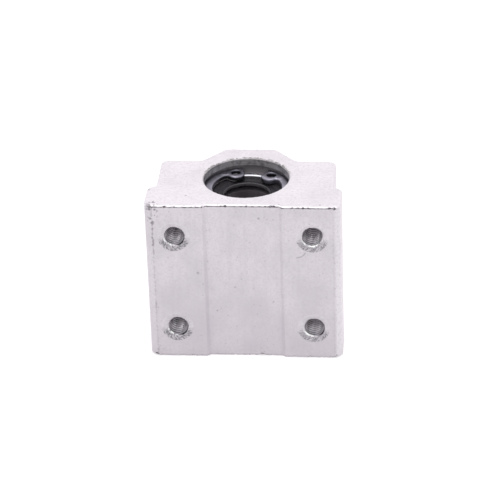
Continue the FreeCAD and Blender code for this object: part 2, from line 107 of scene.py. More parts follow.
def turn(axis, degrees):
    """The matrix that turns about axis 0, 1 or 2: cosines on the diagonal, sines beside it."""
    c, s = math.cos(math.radians(degrees)), math.sin(math.radians(degrees))
    first, second = [(1, 2), (2, 0), (0, 1)][axis]
    matrix = np.eye(3)
    matrix[[first, second], [first, second]] = c
    matrix[first, second], matrix[second, first] = -s, s
    return matrix


level = np.array([[1.0, 0, 0], [0, 0, -1], [0, 1, 0]])
right, down, ahead = turn(2, ROLL) @ turn(0, DIP) @ turn(1, SWING) @ level
eye = -(right * origin_seen_at[0] + down * origin_seen_at[1] + ahead * origin_seen_at[2])

camera_data = bpy.data.cameras.new("camera")
camera_data.lens = LENS
camera_data.sensor_width = SENSOR
camera_data.clip_start, camera_data.clip_end = NEAREST, FARTHEST
camera = bpy.data.objects.new("camera", camera_data)
bpy.context.scene.collection.objects.link(camera)
pose = np.eye(4)
pose[:3, :4] = np.column_stack([right, -down, -ahead, eye])
camera.matrix_world = Matrix(pose.tolist())
bpy.context.scene.camera = camera
bpy.context.scene.view_settings.view_transform = "Standard"
print("camera at", np.round(eye / MM, 1), "mm")

# %% [markdown]
# ## Surfaces as grids
#
# Each new surface is a grid of points that numpy works out at once, which is quicker and easier to
# change than moving points one by one. The helper below turns such a grid into a mesh. A grid that
# closes on itself both ways is a ring, like a tyre; one that is open at its two ends gets a point
# in the middle of each end to close it.

# %% Grid helper
def grid_faces(rows, columns, ring):
    """Quads between neighbours: point (row, column) is number row * columns + column; both wrap."""
    row = np.arange(rows if ring else rows - 1)[:, None]
    column = np.arange(columns)[None, :]
    here = row * columns + column
    beside = row * columns + (column + 1) % columns
    above = (row + 1) % rows * columns + column
    beyond = (row + 1) % rows * columns + (column + 1) % columns
    return np.stack([here, beside, beyond, above], axis=-1).reshape(-1, 4)


def mesh_from_grid(name, points, ring=False):
    """A closed mesh from points of shape (rows, columns, 3); open ends are closed with fans."""
    rows, columns = points.shape[:2]
    corners = points.reshape(-1, 3)
    faces = grid_faces(rows, columns, ring).tolist()
    if not ring:
        around = np.arange(columns)
        after = (around + 1) % columns
        shift = (rows - 1) * columns
        first, last = np.full(columns, len(corners)), np.full(columns, len(corners) + 1)
        faces += np.stack([after, around, first], axis=1).tolist()
        faces += np.stack([shift + around, shift + after, last], axis=1).tolist()
        corners = np.vstack([corners, points[0].mean(axis=0), points[-1].mean(axis=0)])
    mesh = bpy.data.meshes.new(name)
    mesh.from_pydata(corners.tolist(), [], faces)
    mesh.update()
    piece = bpy.data.objects.new(name, mesh)
    bpy.context.scene.collection.objects.link(piece)
    if volume(piece) < 0:
        mesh.flip_normals()
    return piece


def points_of(mesh):
    """The points of a mesh as an array of shape (count, 3)."""
    points = np.empty(len(mesh.vertices) * 3)
    mesh.vertices.foreach_get("co", points)
    return points.reshape(-1, 3)


def volume(piece):
    """Signed volume in mm3: the sum of a . (b x c) / 6 over the triangles, negative if inside out."""
    mesh = piece.data
    mesh.calc_loop_triangles()
    index = np.empty(len(mesh.loop_triangles) * 3, dtype=np.int64)
    mesh.loop_triangles.foreach_get("vertices", index)
    a, b, c = (points_of(mesh)[index[corner::3]] for corner in range(3))
    return float((a * np.cross(b, c)).sum() / 6 / MM ** 3)


print("grid helpers ready")

# %% [markdown]
# ## The block's outline
#
# The block is sawn from an extruded bar, so its outline is the same all the way up. It could be
# drawn again from its sizes, but the frame's own block already holds it: its corners one bevel
# below the upper end. Sorted by their angle round the shaft they form a loop, because a ray from
# the shaft crosses the outline only once. The loop is then cut finer, finest along the bolted
# face, where the chips are.

# %% Outline of the block
BEVEL = 0.15 * MM
SAME = 1e-6
BORE_MARGIN = 0.5 * MM
FINE_STEP, COARSE_STEP = 0.11 * MM, 0.4 * MM
FINE_REACH = 0.6 * MM

corners = points_of(nodes["block"].data)
radius = np.hypot(corners[:, 0], corners[:, 1])
on_outline = (np.abs(corners[:, 2] - (LENGTH - BEVEL)) < SAME) & (radius > BORE + BORE_MARGIN)
outline = np.unique(np.round(corners[on_outline, :2], 8), axis=0)
outline = outline[np.argsort(np.arctan2(outline[:, 1], outline[:, 0]))]

after = np.roll(outline, -1, axis=0)
span = np.hypot(*(after - outline).T)
low_side = np.maximum(outline[:, 1], after[:, 1]) < FACE + FINE_REACH
steps = np.ceil(span / np.where(low_side, FINE_STEP, COARSE_STEP)).astype(int)
start = np.repeat(np.arange(len(outline)), steps)
part = np.arange(steps.sum()) - np.repeat(np.cumsum(steps) - steps, steps)
part = part / np.repeat(steps, steps)
outline = outline[start] + (after - outline)[start] * part[:, None]
print(f"outline: {len(outline)} points")

# %% [markdown]
# Two more things are needed at every outline point: the direction that leads straight out of the
# block, and the distance walked along the outline. The neighbours on both sides give the first:
# the line between them, turned by a right angle. The second lets a nick be placed by one number.

# %% Outward direction and distance along the outline
along = np.roll(outline, -1, axis=0) - np.roll(outline, 1, axis=0)
along /= np.linalg.norm(along, axis=1, keepdims=True)
outward = np.stack([along[:, 1], -along[:, 0]], axis=1)
distance = np.concatenate([[0], np.cumsum(np.hypot(*np.diff(outline, axis=0).T))])
round_trip = distance[-1] + np.hypot(*(outline[0] - outline[-1]))
print(f"outline: {round_trip / MM:.0f} mm round")

# %% [markdown]
# ## Chipped edges
#
# The saw and the barrel that the blocks are tumbled in leave the end edges nicked. Nicks could be
# sculpted one by one; a formula gives as many as are wanted and the same ones each time. A nick
# is a small dent: deepest at its middle and fading like a bell on both sides. All nicks of an edge
# are added up at every outline point at once. A few larger ones sit where this block has them, and
# a seeded generator scatters the small ones, most of them along the bolted face.

# %% Nicks along the two end edges
NICK_SEED = 41
FACE_END = 16.5            # mm from the middle to where the bolted face's edge rounds off
SHARE_ON_FACE = 0.75
SMALL_WIDTHS, SMALL_DEPTHS = (0.08, 0.22), (0.02, 0.10)   # mm
rng = np.random.default_rng(NICK_SEED)


def place_on_outline(x, y):
    """Distance along the outline of the point that is nearest to (x, y), given in mm."""
    return distance[np.argmin(np.hypot(outline[:, 0] - x * MM, outline[:, 1] - y * MM))]


def dents(middles, widths, depths):
    """Depth of all nicks at each outline point: the sum of depth * exp(-(gap / width) ** 2)."""
    gap = np.abs(distance[None, :] - np.asarray(middles)[:, None])
    gap = np.minimum(gap, round_trip - gap)
    return (depths[:, None] * np.exp(-(gap / widths[:, None]) ** 2)).sum(axis=0)


def nicked_edge(large, count):
    """Large nicks (x, y, width, depth in mm) plus scattered small ones, three in four on the face."""
    on_face = place_on_outline(-FACE_END, FACE / MM), place_on_outline(FACE_END, FACE / MM)
    scattered = rng.uniform(0, round_trip, count)
    chosen = rng.random(count) < SHARE_ON_FACE
    scattered[chosen] = rng.uniform(*on_face, chosen.sum())
    middles = [place_on_outline(x, y) for x, y, width, depth in large] + list(scattered)
    widths = [width for x, y, width, depth in large] + list(rng.uniform(*SMALL_WIDTHS, count))
    depths = [depth for x, y, width, depth in large] + list(rng.uniform(*SMALL_DEPTHS, count))
    return dents(middles, np.array(widths) * MM, np.array(depths) * MM)


y_face = FACE / MM
upper_nicks = nicked_edge([
    (-13.4, y_face, 0.35, 0.16), (-11.9, y_face, 0.22, 0.10), (-2.9, y_face, 0.25, 0.14),
    (0.8, y_face, 0.20, 0.10), (4.9, y_face, 0.30, 0.20), (5.5, y_face, 0.18, 0.12),
    (9.6, y_face, 0.20, 0.08), (15.0, y_face, 0.30, 0.16), (15.9, y_face, 0.30, 0.14),
    (-16.9, -9.5, 0.30, 0.10), (-6.9, y_face, 0.25, 0.10)], count=70)
lower_nicks = nicked_edge([
    (2.7, y_face, 0.45, 0.22), (8.6, y_face, 0.30, 0.12), (-9.5, y_face, 0.25, 0.10),
    (-15.8, y_face, 0.35, 0.15)], count=50)
print(f"deepest nick: {max(upper_nicks.max(), lower_nicks.max()) / MM:.2f} mm")

# %% [markdown]
# ## The block's skin
#
# The skin could be cut together from a bar and a drill, but then its edges would stay sharp and
# straight. Here it is one closed path carried round the outline: out over the upper end face, down
# the side, in over the lower end face and back up the bore with its two ring grooves. Each
# station on that path is one row of the grid. The numbers below say where the rows lie and how
# much of a nick each one takes. The two corners of the foot are worn rounder than the rest.

# %% Measures of the skin
FACE_SHARES = (0.0, 0.06, 0.25, 0.5, 0.75, 0.9, 0.96, 0.985, 1.0)   # from mouth to edge
BEVEL_TURNS = ((0.33, 1.0), (0.67, 1.0), (1.0, 0.95))               # share of the turn, of the nick
BELOW_BEVEL = ((0.10, 0.75), (0.22, 0.45), (0.40, 0.15))            # mm past it, share of the nick
INWARDS, AWAY = 0.8, 0.9                                            # how far a nick pushes a row
BORE_BEVEL, RIPPLE = 0.2 * MM, 0.012 * MM
MOUTH_DEPTH, RING_CLEARANCE = 1.4 * MM, 0.05 * MM
GROOVE = ring_high[:2].max() + RING_CLEARANCE
CORNER_INSET, CORNER_REACH = 0.4 * MM, 0.9 * MM
NEAR_EDGE, SIDE_ROWS = 0.9, 15

bore_angle = np.arctan2(outline[:, 1], outline[:, 0])
bore_ring = np.stack([np.cos(bore_angle), np.sin(bore_angle)], axis=1)
worn_corner = sum(
    np.exp(-(np.hypot(outline[:, 0] - x, outline[:, 1] - FACE - CORNER_INSET) / CORNER_REACH) ** 2)
    for x in (CORNER_INSET - HALF_WIDTH, HALF_WIDTH - CORNER_INSET))
print(f"ring grooves: {2 * GROOVE / MM:.1f} mm across, {MOUTH_DEPTH / MM:.1f} mm in")

# %% [markdown]
# Both ends are made alike. The rows of an end face run out from the bore's mouth to the edge and
# turn down over a small bevel, whose width wanders as a hand-held file leaves it. A nick pushes
# the rows near the edge inwards and away from the end, less and less as they lie further from it.
# The bore's mouth ripples a little, from the deburring knife. A Bevel modifier would be quicker,
# but it gives every edge the same width.

# %% Rows over an end face
def flat_row(xy, z):
    """A row of points at one height: z may be one number or one for each point."""
    return np.column_stack([xy, np.broadcast_to(z, len(xy))])


def end_rows(top, nicks):
    """Rows out over an end face: mouth + (edge - mouth) * share, then a quarter turn of bevel."""
    sign, z_end, corner_wear = (1.0, LENGTH, 0.25 * MM) if top else (-1.0, 0.0, 0.6 * MM)
    # the bevel's width swings by a third, in waves of about 3 and 9 mm
    wave = 1 + 0.35 * np.sin(distance / MM * 2.1 + sign) * np.sin(distance / MM * 0.73)
    bevel = BEVEL * wave + corner_wear * worn_corner
    ripple = sum(np.sin(waves * bore_angle + waves * sign) for waves in (7, 19, 31, 46, 67)) * RIPPLE
    inner = bore_ring * (BORE + BORE_BEVEL + ripple)[:, None]
    edge = outline - outward * bevel[:, None]
    rows = []
    for share in FACE_SHARES:
        near_edge = max(0.0, (share - NEAR_EDGE) / (1 - NEAR_EDGE)) ** 2
        sunk = nicks * near_edge
        xy = inner + (edge - inner) * share - outward * sunk[:, None] * INWARDS
        rows.append(flat_row(xy, z_end - sign * sunk * AWAY))
    for turned, fall in BEVEL_TURNS:
        inset = bevel * (1 - math.sin(turned * math.pi / 2)) + nicks * fall * INWARDS
        drop = bevel * (1 - math.cos(turned * math.pi / 2)) + nicks * fall * AWAY
        rows.append(flat_row(outline - outward * inset[:, None], z_end - sign * drop))
    for extra, fall in BELOW_BEVEL:
        inset = nicks * fall
        rows.append(flat_row(outline - outward * inset[:, None], z_end - sign * (bevel + extra * MM)))
    return rows


upper = end_rows(True, upper_nicks)
lower = end_rows(False, lower_nicks)[::-1]
print(f"rows over the ends: {len(upper)} and {len(lower)}")

# %% [markdown]
# The sides only need rows enough to carry their finish, and the bore is a profile of radius and
# height carried round: mouth, ring groove, seat of the sleeve, and the same again at the other
# end. Joined in order, all rows make one closed ring of a mesh with no seam to weld.

# %% The whole skin
sides = [flat_row(outline, z) for z in np.linspace(LENGTH - MOUTH_DEPTH, MOUTH_DEPTH, SIDE_ROWS)]
bore_path = [
    (BORE, BORE_BEVEL), (BORE, MOUTH_DEPTH), (GROOVE, MOUTH_DEPTH), (GROOVE, sleeve_low[2]),
    (BORE, sleeve_low[2]), (BORE, LENGTH * 0.3), (BORE, LENGTH * 0.5), (BORE, LENGTH * 0.7),
    (BORE, sleeve_high[2]), (GROOVE, sleeve_high[2]), (GROOVE, LENGTH - MOUTH_DEPTH),
    (BORE, LENGTH - MOUTH_DEPTH), (BORE, LENGTH - BORE_BEVEL)]
bore_rows = [flat_row(bore_ring * r, z) for r, z in bore_path]
skin = np.stack(upper + sides + lower + bore_rows)
block = mesh_from_grid("milled_block", skin, ring=True)
print(f"skin: {skin.shape[0]} rows, {volume(block):.0f} mm3 before drilling")

# %% [markdown]
# A nick is painted darker. A finish can't tell a nick from plain skin by its place, so the mesh
# remembers how deep each point was pushed, as an attribute that the finish reads later. It is set
# before drilling, because the Boolean carries attributes over to the mesh that it makes.

# %% Mark the nicks
NICK_SHOWN = (0, 0, 0, 0, 0, 0, 0.2, 0.6, 1, 1, 1, 1, 0.8, 0.5, 0.2)  # one for each end row
FULL_MARK = 0.12 * MM

hurt = np.zeros(skin.shape[:2])
hurt[:len(upper)] = np.outer(NICK_SHOWN, upper_nicks)
lower_start = len(upper) + len(sides)
hurt[lower_start:lower_start + len(lower)] = np.outer(NICK_SHOWN[::-1], lower_nicks)
nick_mark = block.data.attributes.new("nick", "FLOAT", "POINT")
nick_mark.data.foreach_set("value", np.clip(hurt / FULL_MARK, 0, 1).ravel())
print(f"nicked points: {(hurt > FULL_MARK / 4).sum()}")

# %% [markdown]
# ## Threaded holes
#
# A tap cuts a helix: at any height the wall's radius depends on the angle, and one turn further
# up the same pattern comes back. A bump in the finish could suggest it, but a real ridge catches
# the light from every side. So the hole is a grid over angle and depth whose radius is
# `root - ridge * height`, where the ridge is a triangle wave of depth / pitch - angle / 360. The
# countersink is a shallow cone that wins where it is wider, and it carries the marks of a
# chattering cutter. The grid is a solid plug, to be taken away from the block later.

# %% Sizes of a threaded hole
PITCH = 0.7 * MM
CREST = 1.64 * MM
MOUTH = THREAD_ROOT + (THREAD_START - FACE)
CONE_DEPTH = 0.42 * MM
CONE_SLOPE = (MOUTH - CREST) / CONE_DEPTH
TAP_END = THREAD_START + 7.4 * MM
ROUND, CONE_ROWS, ROWS_PER_TURN = 72, 8, 8
OUTSIDE = (0.1 * MM, 0.02 * MM)      # the plug's first rows stand proud of the face
PAST_SHOULDER = 0.8 * MM             # and its last one stands proud of the far side
CHATTER = 0.02 * MM
PLUG_SEED = 7
print(f"thread: pitch {PITCH / MM:.1f} mm, {(TAP_END - FACE) / MM:.1f} mm deep")

# %% [markdown]
# The four taps went in at different turns, so each plug has its own start. The chatter is a sum
# of five waves round the hole with random strengths, from a seeded generator for each hole.

# %% Plugs in the shape of the holes
def hole_plug(name, x, z, start, seed):
    """Radius over (depth, angle): the larger of thread and cone, then the drill. Start: in turns."""
    marks = np.random.default_rng(seed)
    angle = np.linspace(0, 2 * np.pi, ROUND, endpoint=False)[None, :]
    depth = np.concatenate([
        [FACE - step for step in OUTSIDE], np.linspace(FACE, FACE + CONE_DEPTH, CONE_ROWS),
        np.arange(FACE + CONE_DEPTH + PITCH / 10, TAP_END, PITCH / ROWS_PER_TURN),
        [TAP_END, SHOULDER, SHOULDER + PAST_SHOULDER]])[:, None]
    phase = (depth - FACE) / PITCH - angle / (2 * np.pi) + start
    # a triangle wave from 0 to 1, cut off flat at its top and foot
    ridge = np.clip(1.35 * (1 - np.abs(2 * (phase % 1) - 1)) - 0.1, 0, 1)
    fade = np.clip((TAP_END - depth) / PITCH, 0, 1)
    thread = (DRILL + (THREAD_ROOT - DRILL) * fade) - (THREAD_ROOT - CREST) * ridge * fade
    chatter = sum(marks.uniform(0.3, 1) * np.sin(waves * angle + marks.uniform(0, 6.3))
                  for waves in (3, 11, 17, 22, 27))
    cone = MOUTH - (depth - FACE) * CONE_SLOPE + CHATTER * chatter * (depth < FACE + 1.2 * CONE_DEPTH)
    wall = np.where(depth > TAP_END - SAME / 10, DRILL, np.maximum(thread, cone))
    depths = np.broadcast_to(depth, wall.shape)
    points = np.stack([x + wall * np.cos(angle), depths, z + wall * np.sin(angle)], axis=-1)
    return mesh_from_grid(name, points)


middle = holes["pos_m"][2]
plugs = [
    hole_plug(f"plug_{number}", side * HOLE_X, middle + end * HOLE_Z, start, seed=PLUG_SEED + number)
    for number, (side, end, start) in enumerate([
        (-1, -1, 0.37), (1, -1, 0.43), (-1, 1, 0.40), (1, 1, 0.68)])]
print(f"plugs: {len(plugs)}, {volume(plugs[0]):.0f} mm3 each")

# %% [markdown]
# A Boolean modifier takes the plugs away one after another, which leaves real ridges, cut clean by
# the cone. Joining the grids by hand would need matching points. Its result is kept as a plain
# mesh, and the plugs are removed. Edges sharper than 35 degrees stay sharp; all others are shaded
# round.

# %% Drill the block
SHARP_FROM = 35


def take_away(piece, tool):
    """The piece less the tool, as the piece's own mesh."""
    cut = piece.modifiers.new("hole", "BOOLEAN")
    cut.operation = "DIFFERENCE"
    cut.solver = "EXACT"
    cut.object = tool
    graph = bpy.context.evaluated_depsgraph_get()
    result = bpy.data.meshes.new_from_object(piece.evaluated_get(graph))
    piece.modifiers.clear()
    old, piece.data = piece.data, result
    bpy.data.meshes.remove(old)
    bpy.data.objects.remove(tool)


before = volume(block)
for plug in plugs:
    take_away(block, plug)
block.data.name = "milled_block"
block.data.shade_smooth()
block.data.set_sharp_from_angle(angle=math.radians(SHARP_FROM))
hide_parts("block")
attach(block, "housing")
print(f"drilled: {before - volume(block):.0f} mm3 gone, {len(block.data.polygons)} faces")

# %% [markdown]
# ## Shader groups
#
# Wear, grain and specks come back on several finishes. Copying the nodes would let the copies
# drift apart, so each effect is a group of nodes with named inputs and outputs. Helpers keep the
# wiring readable. The first ones add a node with its values, and do sums on sockets, so that a
# chain of Math nodes reads like the sum that it works out.

# %% Node helpers
def add(tree, kind, inputs=None, **settings):
    """A node of a kind; inputs are linked if they are sockets and typed in if they are values."""
    node = tree.nodes.new(kind)
    for name, value in settings.items():
        setattr(node, name, value)
    for name, value in (inputs or {}).items():
        socket = node.inputs[name]
        if isinstance(value, bpy.types.NodeSocket):
            tree.links.new(value, socket)
        else:
            socket.default_value = value
    return node


def math_node(tree, operation, *values, clamp=False):
    """The result of a Math node on sockets or numbers."""
    node = add(tree, "ShaderNodeMath", dict(enumerate(values)), operation=operation, use_clamp=clamp)
    return node.outputs[0]


def times(tree, first, *others):
    """The product of sockets and numbers."""
    for other in others:
        first = math_node(tree, "MULTIPLY", first, other)
    return first


def plus(tree, first, second):
    """The sum of two sockets or numbers."""
    return math_node(tree, "ADD", first, second)


def minus(tree, first, second):
    """The first socket or number less the second."""
    return math_node(tree, "SUBTRACT", first, second)


def size_of(tree, value):
    """A value without its sign."""
    return math_node(tree, "ABSOLUTE", value)


def off_axis(tree, first, second):
    """Distance from an axis, by Pythagoras: the root of first ** 2 + second ** 2."""
    squares = plus(tree, times(tree, first, first), times(tree, second, second))
    return math_node(tree, "SQRT", squares)


print("node helpers ready")

# %% [markdown]
# Three more nodes do most of the painting. A ramp turns a distance or a noise into a share
# between two limits; its soft ends keep a mask from looking cut out. A mix lays one colour over
# another by such a share, like a thin coat of paint. Noise makes the patches.

# %% Ramps, coats of colour and noise
def ramp(tree, value, low, high, to_low=0.0, to_high=1.0):
    """Map a value from low..high to another range with soft ends; it falls where low is above high."""
    node = add(tree, "ShaderNodeMapRange", {
        "Value": value, "From Min": low, "From Max": high, "To Min": to_low, "To Max": to_high},
        interpolation_type="SMOOTHSTEP")
    return node.outputs["Result"]


def mix_colours(tree, share, first, second):
    """First colour where the share is 0 and second where it is 1."""
    return add(tree, "ShaderNodeMix", {0: share, 6: first, 7: second}, data_type="RGBA").outputs[2]


def noise(tree, place, scale, detail, roughness=0.5):
    """Soft random patches, so many to a metre; detail adds finer ones, roughness their strength."""
    return add(tree, "ShaderNodeTexNoise", {
        "Vector": place, "Scale": scale, "Detail": detail, "Roughness": roughness}).outputs["Fac"]


print("painting helpers ready")

# %% [markdown]
# A group is made in two steps: first its sockets, by name and kind, and then the nodes between
# them. In a finish it is placed with values of that finish's own.

# %% Group helpers
def new_group(name, inputs, outputs):
    """An empty node group with sockets. Inputs are (name, kind, default) and outputs (name, kind)."""
    group = bpy.data.node_groups.new(name, "ShaderNodeTree")
    for label, kind, default in inputs:
        socket = group.interface.new_socket(label, in_out="INPUT", socket_type=f"NodeSocket{kind}")
        if default is not None:
            socket.default_value = default
    for label, kind in outputs:
        group.interface.new_socket(label, in_out="OUTPUT", socket_type=f"NodeSocket{kind}")
    return group, group.nodes.new("NodeGroupInput").outputs, group.nodes.new("NodeGroupOutput").inputs


def use(tree, group, **inputs):
    """Place a group in a tree and return its one output; break_scale=5 sets its Break Scale to 5."""
    named = {name.replace("_", " ").title(): value for name, value in inputs.items()}
    return add(tree, "ShaderNodeGroup", named, node_tree=group).outputs[0]


print("group helpers ready")

# %% [markdown]
# **Tool lines.** A bar pushed through a die, or a part turned on a lathe, carries fine lines that
# run one way. A wave pattern would be too regular. Noise does it when it is squeezed across the
# lines and stretched along them.

# %% Group: tool lines
lines, given, made = new_group(
    "tool_lines",
    [("Vector", "Vector", None), ("Density", "Vector", (3000.0, 3000.0, 60.0)),
     ("Detail", "Float", 3.0)],
    [("Lines", "Float")])
scaled = add(lines, "ShaderNodeVectorMath", {0: given["Vector"], 1: given["Density"]},
             operation="MULTIPLY")
lines.links.new(noise(lines, scaled.outputs[0], 1.0, given["Detail"], 0.6), made["Lines"])
print("group:", lines.name)

# %% [markdown]
# **Specks.** Grit and tiny pits are scattered one by one, which noise can't do: it has no single
# spots. Voronoi cells give each speck a random middle; only the cells whose random colour is low
# enough show one, and a second random colour gives its size.

# %% Group: specks
SPECK_EDGE = 12.0
specks, given, made = new_group(
    "specks",
    [("Vector", "Vector", None), ("Per Metre", "Float", 900.0),
     ("Share", "Float", 0.1), ("Size", "Float", 0.2)],
    [("Mask", "Float")])
cells = add(specks, "ShaderNodeTexVoronoi", {
    "Vector": given["Vector"], "Scale": given["Per Metre"], "Randomness": 1.0}).outputs
lucky = add(specks, "ShaderNodeSeparateColor", {"Color": cells["Color"]}).outputs
chosen = math_node(specks, "LESS_THAN", lucky["Red"], given["Share"])
inside = minus(specks, times(specks, lucky["Green"], given["Size"]), cells["Distance"])
dot = math_node(specks, "MULTIPLY", inside, SPECK_EDGE, clamp=True)
specks.links.new(times(specks, chosen, dot), made["Mask"])
print("group:", specks.name)

# %% [markdown]
# **Broken band.** Wear follows an edge, but not evenly. A plain ramp would draw a clean stripe.
# The group takes the distance from the edge, narrows it with noise and puts out a band that comes
# and goes.

# %% Group: broken band
NO_WIDTH = 1e-6
band, given, made = new_group(
    "broken_band",
    [("Vector", "Vector", None), ("Distance", "Float", 0.0), ("Width", "Float", 0.2 * MM),
     ("Break Scale", "Float", 900.0), ("Amount", "Float", 0.5)],
    [("Mask", "Float")])
breaks = noise(band, given["Vector"], given["Break Scale"], 2.0)
reach = times(band, ramp(band, breaks, 0.35, 0.65), given["Width"])
gone = math_node(band, "DIVIDE", given["Distance"], plus(band, reach, NO_WIDTH))
left = math_node(band, "SUBTRACT", 1.0, gone, clamp=True)
band.links.new(times(band, left, given["Amount"]), made["Mask"])
print("group:", band.name)

# %% [markdown]
# ## Finishes
#
# A finish starts from one helper: a material with a Principled shader, the piece's own
# coordinates and a Bump node. Values that are the same everywhere are typed into the shader;
# only what changes over the surface comes through nodes.

# %% Start of a finish
def new_finish(name, metallic, roughness, specular=0.5):
    """A material, its tree, its shader and the Object coordinates that patterns read."""
    plain = bpy.data.materials.get(name)
    if plain:
        plain.name = name + "_plain"
    material = bpy.data.materials.new(name)
    material.use_nodes = True
    tree = material.node_tree
    shader = tree.nodes["Principled BSDF"]
    shader.inputs["Metallic"].default_value = metallic
    shader.inputs["Roughness"].default_value = roughness
    shader.inputs["Specular IOR Level"].default_value = specular
    place = tree.nodes.new("ShaderNodeTexCoord").outputs["Object"]
    return material, tree, shader, place


def feed(tree, shader, base, rough, height, depth):
    """Link a colour and a roughness to the shader, and a height of 0..1 as deep as the depth in m."""
    tree.links.new(base, shader.inputs["Base Color"])
    tree.links.new(rough, shader.inputs["Roughness"])
    bump = add(tree, "ShaderNodeBump", {"Height": height, "Distance": depth, "Strength": 1.0})
    tree.links.new(bump.outputs["Normal"], shader.inputs["Normal"])


def colour(red, green, blue, alpha=1.0):
    """A colour written as on a screen, 0..255, put through the screen's own curve to light values."""
    screen = np.array([red, green, blue]) / 255
    light = np.where(screen <= 0.04045, screen / 12.92, ((screen + 0.055) / 1.055) ** 2.4)
    return (*light.tolist(), alpha)


def paint(material, *pieces):
    """Give each mesh this one material in all its slots."""
    for piece in pieces:
        piece.data.materials.clear()
        piece.data.materials.append(material)
    print(f"finish: {material.name}, pieces: {len(pieces)}")


# the second white is the near white of painted highlights
WHITE, HIGHLIGHT_WHITE = colour(255, 255, 255), colour(255, 253, 255)
print("finish helpers ready")

# %% [markdown]
# ### Milled aluminium
#
# Blasted and tumbled aluminium is a soft, faintly rosy grey. Fine grain and cloudy patches lie
# over it, die lines run up the sides, and grit leaves small dark specks. The end edges, the
# rounded foot edges, the screw holes and the bore differ from the rest. They could be painted by
# hand on an unwrapped mesh; masks worked out from distances need no unwrapping and stay sharp.
# The bolted face has a shallow relief down its middle, so the distance from the skin is taken
# from the relief's floor there.

# %% Zones of the block: distances
aluminium, tree, shader, place = new_finish("milled_aluminium", 0.5, 0.5)
x, y, z = add(tree, "ShaderNodeSeparateXYZ", {"Vector": place}).outputs

end_gap = math_node(tree, "MINIMUM", minus(tree, LENGTH, z), z)
face_gap = minus(tree, y, FACE)
relief = outline[(np.abs(outline[:, 0]) < MM) & (outline[:, 1] < 0), 1].mean() - FACE
relief_edge = np.abs(outline[outline[:, 1] < FACE + relief / 2, 0]).min()
in_relief = ramp(tree, size_of(tree, x), relief_edge + 0.1 * MM, relief_edge - 0.4 * MM, 0.0, relief)
skin_gap = size_of(tree, minus(tree, face_gap, in_relief))
from_shaft = off_axis(tree, x, y)
in_bore = times(tree, ramp(tree, from_shaft, BORE + 0.50 * MM, BORE + 0.40 * MM),
                ramp(tree, end_gap, 0.04 * MM, 0.18 * MM))
print(f"zones: ends, bolted face with a relief {relief / MM:.2f} mm deep, bore")

# %% [markdown]
# The four screw holes are alike, so their pattern is worked out once: the distance across is
# folded at the middle of the block, and the height wraps round from one hole to the next. What is
# left is the place within one hole, as a distance from its axis and an angle round it. Four
# separate masks would do the same with four times the nodes.

# %% Zones of the block: within a screw hole
across = minus(tree, size_of(tree, x), HOLE_X)
up = minus(tree, math_node(tree, "WRAP", z, LENGTH / 2, LENGTH / 2 - 2 * HOLE_Z), LENGTH / 2 - HOLE_Z)
from_hole = off_axis(tree, across, up)
hole_angle = math_node(tree, "ARCTAN2", up, across)
past_cone = ramp(tree, plus(tree, times(tree, face_gap, CONE_SLOPE), from_hole),
                 MOUTH + 0.08 * MM, MOUTH + 0.20 * MM)
hole_limit = ramp(tree, face_gap, TAP_END - FACE, TAP_END - FACE + 0.1 * MM,
                  THREAD_ROOT + 0.08 * MM, DRILL + 0.03 * MM)
in_hole = times(tree, past_cone, ramp(tree, minus(tree, hole_limit, from_hole), 0.0, 0.03 * MM))
in_sink = times(tree, ramp(tree, from_hole, MOUTH + 0.35 * MM, MOUTH + 0.05 * MM),
                ramp(tree, face_gap, CONE_DEPTH + 0.2 * MM, CONE_DEPTH + 0.1 * MM),
                minus(tree, 1.0, in_hole))
print("zones: thread and countersink")

# %% [markdown]
# The sawn ends are paler than the pressed faces. The pressed faces are painted darker towards the
# floor, as painted shade, and the right foot edge carries a painted highlight. One picture of
# metal could be laid over everything, but it would repeat. Layers of noise don't: clouds for the
# blasting, a fine mottle for the grain, stretched lines from the die and two sizes of grit, with
# more of the fine grit near the front edges, where the block is handled.

# %% Colours of the block: grain, clouds and grit
CLOUD_SCALE, MOTTLE_SCALE = 150.0, 2200.0
die = use(tree, lines, vector=place, density=(1500.0, 1500.0, 45.0), detail=3.0)
clouds = noise(tree, place, CLOUD_SCALE, 4.0, 0.6)
mottle = noise(tree, place, MOTTLE_SCALE, 3.0, 0.7)
grit = use(tree, specks, vector=place, per_metre=600.0, share=0.05, size=0.2)
fine_grit = use(tree, specks, vector=place, per_metre=1900.0, share=0.14, size=0.35)

cloud_share = ramp(tree, clouds, 0.35, 0.68)
sawn = mix_colours(tree, cloud_share, colour(235, 229, 235), colour(226, 220, 226))
pressed = mix_colours(tree, cloud_share, colour(214, 208, 214), colour(202, 196, 203))
# painted shade: the pressed faces grow darker towards the floor
painted_shade_low = ramp(tree, z, LENGTH * 0.7, 0.0, 0.0, 0.3)
pressed = mix_colours(tree, painted_shade_low, pressed, colour(190, 182, 189))
# painted highlight along the right foot edge
painted_foot_highlight = ramp(tree, x, HALF_WIDTH - 1.3 * MM, HALF_WIDTH - 0.8 * MM, 0.0, 0.7)
pressed = mix_colours(tree, painted_foot_highlight, pressed, colour(232, 227, 233))
on_face = times(tree, ramp(tree, face_gap, 1.0 * MM, 0.5 * MM),
                ramp(tree, end_gap, 0.1 * MM, 0.3 * MM))
metal = mix_colours(tree, on_face, sawn, pressed)
mottled = times(tree, ramp(tree, mottle, 0.42, 0.72), ramp(tree, on_face, 0.0, 1.0, 0.34, 0.55))
metal = mix_colours(tree, mottled, metal, colour(192, 186, 192))
metal = mix_colours(tree, ramp(tree, die, 0.42, 0.75, 0.0, 0.22), metal, colour(196, 190, 197))
metal = mix_colours(tree, times(tree, grit, 0.5), metal, colour(122, 117, 122))
handled = times(tree, ramp(tree, skin_gap, 3.0 * MM, 0.8 * MM),
                ramp(tree, end_gap, 0.3 * MM, 0.1 * MM, 0.3, 0.9))
fine_grit = times(tree, fine_grit, math_node(tree, "MAXIMUM", handled, 0.3))
metal = mix_colours(tree, fine_grit, metal, colour(150, 145, 150))
print("colours: grain, clouds and grit")
